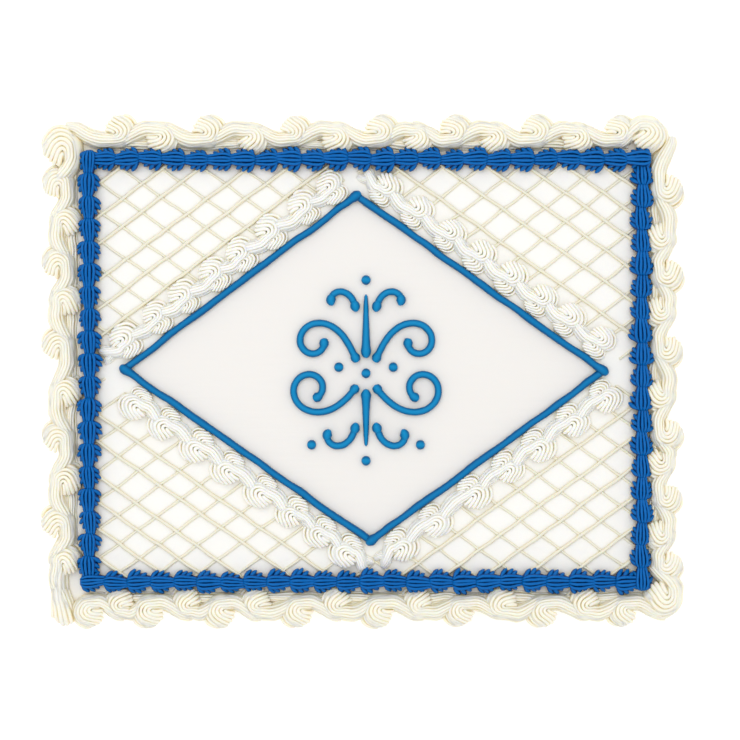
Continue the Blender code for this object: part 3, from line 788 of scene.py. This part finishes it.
print("lattice")
draw = random.Random(7)
frameEdges = [
    (line["outward"] * (line["shells"] - latticeShape["inset"]), -line["outward"]) for line in sides.values()
]
lowHeight, highHeight = latticeShape["heights"]
strands = []
for corner, (a, b) in cornerFields.items():
    first, second = lozenge[a], lozenge[b]
    middle = (first + second) / 2
    run = (second - first).normalized()
    outward = Vector((run.y, -run.x))
    if outward.dot(middle) < 0:
        outward = -outward
    planes = frameEdges + [(first + outward * latticeShape["borderGap"], outward)]
    degrees, nearest = latticeShape["across"][corner]
    way = Vector((math.cos(math.radians(degrees)), math.sin(math.radians(degrees))))
    square = Vector((way.y, -way.x))
    for index in range(-latticeShape["count"], latticeShape["count"] + 1):
        spot = square * (nearest + index * latticeShape["pitch"])
        ends = clip(spot - way * 400, spot + way * 400, planes)
        if ends:
            thin = latticeShape["radius"] * latticeShape["thinner"]
            strands.append(latticeStrand(*ends, lowHeight, thin, draw))
    for offset in latticeShape["along"][corner]:
        spot = middle + outward * offset
        ends = clip(spot - run * 400, spot + run * 400, planes)
        if ends:
            strands.append(latticeStrand(*ends, highHeight, latticeShape["radius"], draw))
thinNozzle = makeNozzle("small round tip", 10)
lattice = pipe("cream_lattice", strands, thinNozzle)
closeUp(lattice)
roughen(lattice, *latticeShape["waver"], "waver lattice")
paint(lattice, latticeIcing)
place(lattice, "cream_icing")

# Scroll ornament in the middle

ornamentShape = {
    "middle": 2.2, "radius": 2.2, "bead": 3.1, "waver": (3, 0.3),
    # start across and up, heading in degrees, length, bend at the start and at the end in radians per mm
    "scrolls": {
        "plume": (5.5, 6, 64, 80, 0.008, -0.162), "leaf": (6.2, 38, 80, 28, -0.02, -0.23),
        "sweep": (5.5, -9, -54, 92, 0.006, 0.145), "curl": (6.2, -33, -78, 33, 0.01, 0.21),
    },
    # the two drops on the middle line, from their heads to their points, and their radius along the way
    "drops": {"upper": (9, 48), "lower": (-12, -47)},
    "drop": ((0, 0.8), (0.02, 2.2), (0.08, 3.3), (0.2, 2.7), (0.5, 2.1), (0.8, 1.6), (0.97, 1.0), (1, 0.3)),
    "dots": ((0, 57), (0, -1.3), (0, -56), (17, 2.5), (-17, 2.5), (34, -46), (-34, -46)),
    # a dot is a short round strand: places across it and the radius there
    "dot": (
        (-2.9, 0.3), (-2.7, 1.2), (-2.1, 2.2), (-1.1, 2.85), (0, 3.05), (1.1, 2.85), (2.1, 2.2), (2.7, 1.2),
        (2.9, 0.3),
    ),
    # how high a strand's middle lies, as a share of its radius, and how high a dot's does
    "lift": 0.75, "dotLift": 1.3,
}

print("scroll ornament")
strands = []
nodes = []
centre = ornamentShape["middle"]
lift = ornamentShape["lift"]
for name, (x, y, heading, length, bendStart, bendEnd) in ornamentShape["scrolls"].items():
    points = []
    angle = math.radians(heading)
    steps = 70
    stride = length / steps
    px, py = x, y
    for index in range(steps + 1):
        travelled = index * stride
        left = length - travelled
        radius = ornamentShape["radius"]
        for distance in (travelled, left):
            # a bead at each end
            bulge = math.sqrt(max(0.0, 1 - ((distance - 2.6) / 3.4) ** 2))
            radius = max(radius, ornamentShape["bead"] * bulge)
            if distance < 2.6:
                radius = ornamentShape["bead"] * math.sqrt(max(0.02, 1 - ((distance - 2.6) / 2.65) ** 2))
        points.append((px, py, radius))
        angle += (bendStart + (bendEnd - bendStart) * (index + 0.5) / steps) * stride
        px += math.cos(angle) * stride
        py += math.sin(angle) * stride
    for hand, mirror in (("right", 1), ("left", -1)):
        nodes.append(f"ornament_{name}_{hand}")
        strands.append([(centre + mirror * a, b, topZ + lift * r, r) for a, b, r in points])
for name, (start, end) in ornamentShape["drops"].items():
    nodes.append(f"ornament_{name}_drop")
    knots = [(0, start + (end - start) * share, 0, radius) for share, radius in ornamentShape["drop"]]
    strands.append([(centre + a, b, topZ + lift * r, r) for a, b, _, r in smoothPath(knots, 0.8)])
for index, (x, y) in enumerate(ornamentShape["dots"]):
    nodes.append(f"ornament_dot_{index}")
    strands.append([(centre + x + a, y, topZ + ornamentShape["dotLift"], r) for a, r in ornamentShape["dot"]])
ornament = pipe("scroll_ornament", strands, roundNozzle)
closeUp(ornament)
roughen(ornament, *ornamentShape["waver"], "waver ornament")
paint(ornament, ornamentIcing)
place(ornament, "bright_blue_icing", *nodes)

# Cream shells round the foot

# the same shells, longer, narrower, higher and with more fins
footShape = dict(
    shellShape, pitch=27, spacing=1.6, wide=0.94, high=1.25, thick=1.1, base=2.2, waver=(4, 0.4),
    fins=((-0.2, 0.94), (1.6, 1.0), (3.4, 1.0), (5.2, 0.9), (7.0, 0.78), (8.8, 0.66)),
    # how far each row runs to either side of the middle, and how far out it stands
    rows={"back": (189, 150.5), "left": (149.5, 190), "front": (189, 150.5), "right": (149.5, 190)},
)
for key in ("core", "ridge", "fin"):
    footShape[key] = tuple(
        (a, b * footShape["wide"], z * footShape["high"], r * footShape["thick"])
        for a, b, z, r in shellShape[key]
    )

print("foot shells")
for order, (side, line) in enumerate(sides.items()):
    halfRun, wall = footShape["rows"][side]
    start = line["outward"] * wall - line["forward"] * halfRun
    end = line["outward"] * wall + line["forward"] * halfRun
    cores, ridges = shellRow(footShape, start, end, footShape["base"], 170 + order)
    run = pipe(f"cream_foot_shells_{side}", ridges, ridgeNozzle)
    joinTo(run, pipe(f"foot_cores_{side}", cores, coreNozzle))
    closeUp(run)
    roughen(run, *footShape["waver"], f"waver foot {side}")
    # the icing stands flat on the table
    for vertex in run.data.vertices:
        vertex.co.z = max(vertex.co.z, 0.1 * mm)
    paint(run, creamIcing)
    place(run, "cream_icing", f"foot_shells_{side}")

for tip in (bedNozzle, coreNozzle, ridgeNozzle, roundNozzle, thinNozzle):
    bpy.data.objects.remove(tip, do_unlink=True)

# Floor, light and camera

print("floor, light and camera")
# the lamp's size and places are in metres; perPixel is how much cake one pixel of the picture shows
studio = {
    "sky": 0.93, "floor": "ffffff", "glow": 0.2,
    "key": 4.5, "keySize": 1.2, "keyPlace": (-0.3, 0.6, 1.5), "keyAim": (0, 0, 0.06),
    "lens": 80, "sensor": 36, "pixels": 740, "perPixel": 0.626, "centre": (4.7, 0.75),
}
deselectAll()
bpy.ops.mesh.primitive_plane_add(size=12, location=(0, 0, -0.0005))
floor = bpy.context.object
floor.name = floor.data.name = "studio_floor"
floorPaint, floorTree, floorShader = newMaterial("matt white studio paper")
floorShader.inputs["Base Color"].default_value = hexToLinear(studio["floor"])
floorShader.inputs["Roughness"].default_value = 0.9
floorShader.inputs["Emission Color"].default_value = (1, 1, 1, 1)
floorShader.inputs["Emission Strength"].default_value = studio["glow"]
paint(floor, floorPaint)

world = bpy.context.scene.world or bpy.data.worlds.new("studio")
bpy.context.scene.world = world
world.use_nodes = True
background = world.node_tree.nodes["Background"]
background.inputs["Color"].default_value = (1, 1, 1, 1)
background.inputs["Strength"].default_value = studio["sky"]

keyData = bpy.data.lights.new("window light", "AREA")
keyData.shape = "SQUARE"
keyData.size = studio["keySize"]
keyData.energy = studio["key"]
key = bpy.data.objects.new("window light", keyData)
bpy.context.scene.collection.objects.link(key)
key.location = studio["keyPlace"]
key.rotation_euler = (Vector(studio["keyAim"]) - key.location).to_track_quat("-Z", "Y").to_euler()

cameraData = bpy.data.cameras.new("overhead camera")
cameraData.lens = studio["lens"]
cameraData.sensor_width = studio["sensor"]
camera = bpy.data.objects.new("overhead camera", cameraData)
bpy.context.scene.collection.objects.link(camera)
distance = studio["pixels"] * studio["perPixel"] * studio["lens"] / studio["sensor"]
camera.location = (studio["centre"][0] * mm, studio["centre"][1] * mm, (topZ + distance) * mm)
bpy.context.scene.camera = camera
bpy.context.scene.view_settings.view_transform = "Standard"
bpy.context.scene.view_settings.exposure = 0
